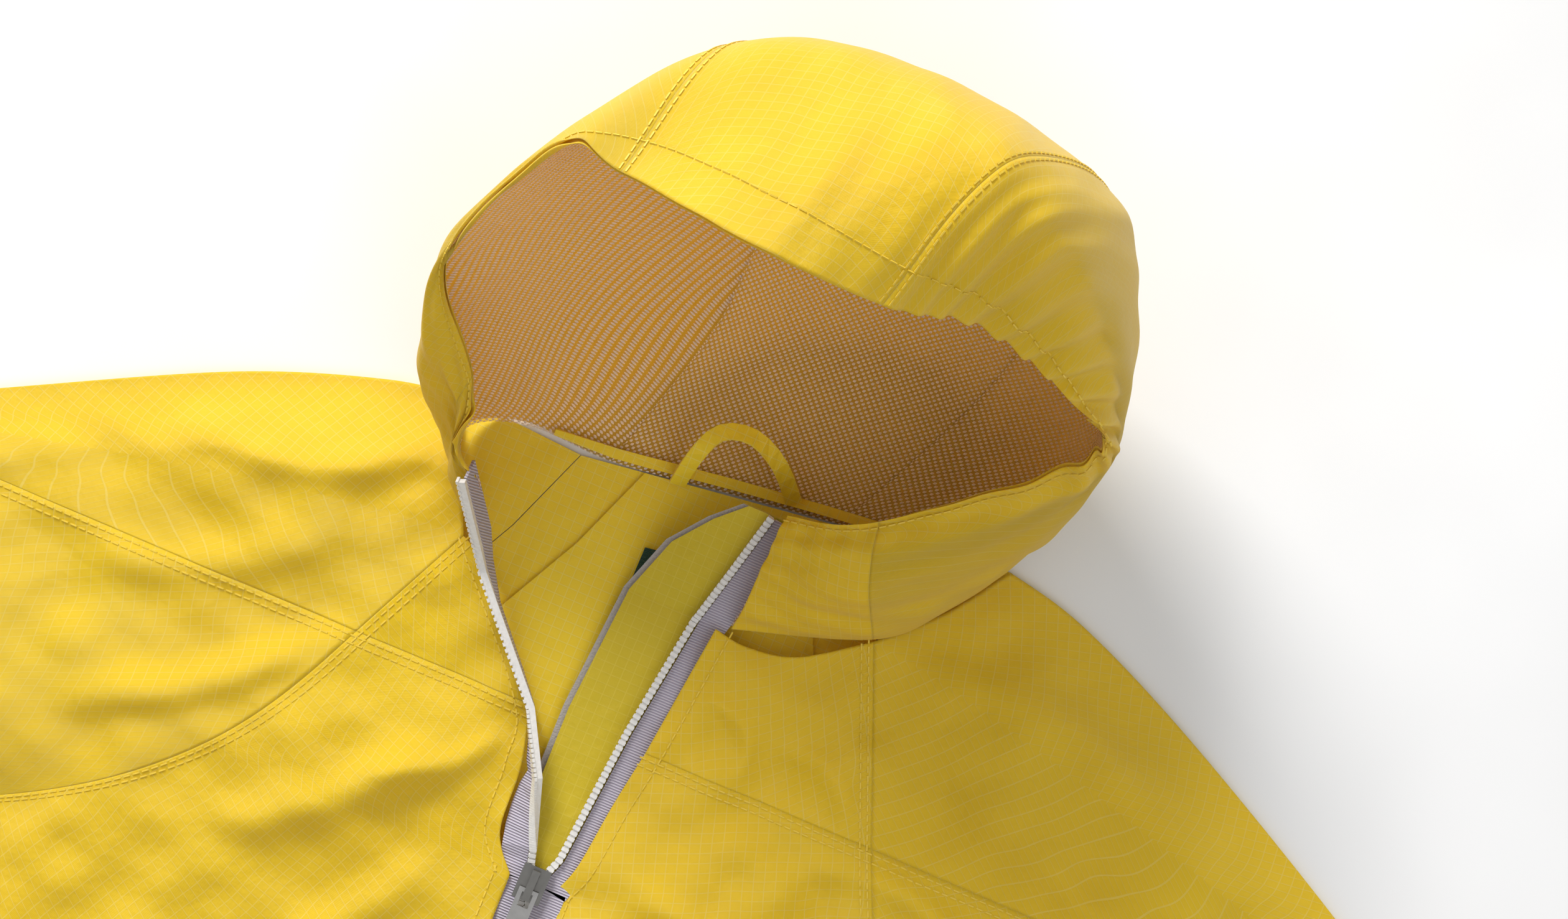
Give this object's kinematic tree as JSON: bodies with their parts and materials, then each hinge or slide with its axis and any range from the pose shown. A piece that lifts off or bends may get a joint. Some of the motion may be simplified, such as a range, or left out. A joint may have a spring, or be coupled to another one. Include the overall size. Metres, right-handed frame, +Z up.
{
  "type": "rain jacket",
  "caption": "Child's hooded rain jacket laid on its back, zip half open, hood filled out over a net lining.",
  "frame": {"origin": "on the underside of the back panel, at centre back on the underarm line", "axes": "+Z up off the surface the jacket lies on, +Y up the garment to the hood, +X to the wearer's left"},
  "size_m": [0.9896, 0.611, 0.1859],
  "materials": {
    "shell": "coated ripstop, soft sheen",
    "net": "open diamond net",
    "fleece": "brushed",
    "zip_tape": "ribbed woven tape",
    "zip_teeth": "moulded",
    "metal": "dark nickel",
    "label": "damask woven"
  },
  "bodies": {
    "garment": {"back": "shell", "lining_back": "net", "yoke_left": "shell", "front_left": "shell", "sleeve_upper_left": "shell", "sleeve_lower_left": "shell", "sleeve_back_left": "shell", "yoke_right": "shell", "front_right": "shell", "sleeve_upper_right": "shell", "sleeve_lower_right": "shell", "sleeve_back_right": "shell", "collar_right": "shell", "facing_collar_right": "shell", "lining_collar_right": "net", "hood_side_right": "shell", "facing_hood_side_right": "shell", "lining_hood_side_right": "net", "hood_center": "shell", "facing_hood_center": "shell", "lining_hood_center": "net", "hood_side_left": "shell", "facing_hood_side_left": "shell", "lining_hood_side_left": "net", "collar_left": "shell", "facing_collar_left": "shell", "lining_collar_left": "net", "neck_tape": "net", "zip_tape_left": "zip_tape", "zip_chain_left": "zip_teeth", "zip_tape_right": "zip_tape", "zip_chain_right": "zip_teeth", "underlap": "shell", "underlap_backing": "fleece", "zip_slider": "metal", "hanging_loop": "shell", "label": "label"},
    "pull_tab": {"pull_tab": "metal"}
  },
  "joints": [
    {"name": "tab_hinge", "type": "hinge", "parent": "garment", "child": "pull_tab", "pos_m": [-0.0109, 0.0426, 0.0124], "axis": [-1, 0, 0], "range_deg": [0, 140]}
  ]
}
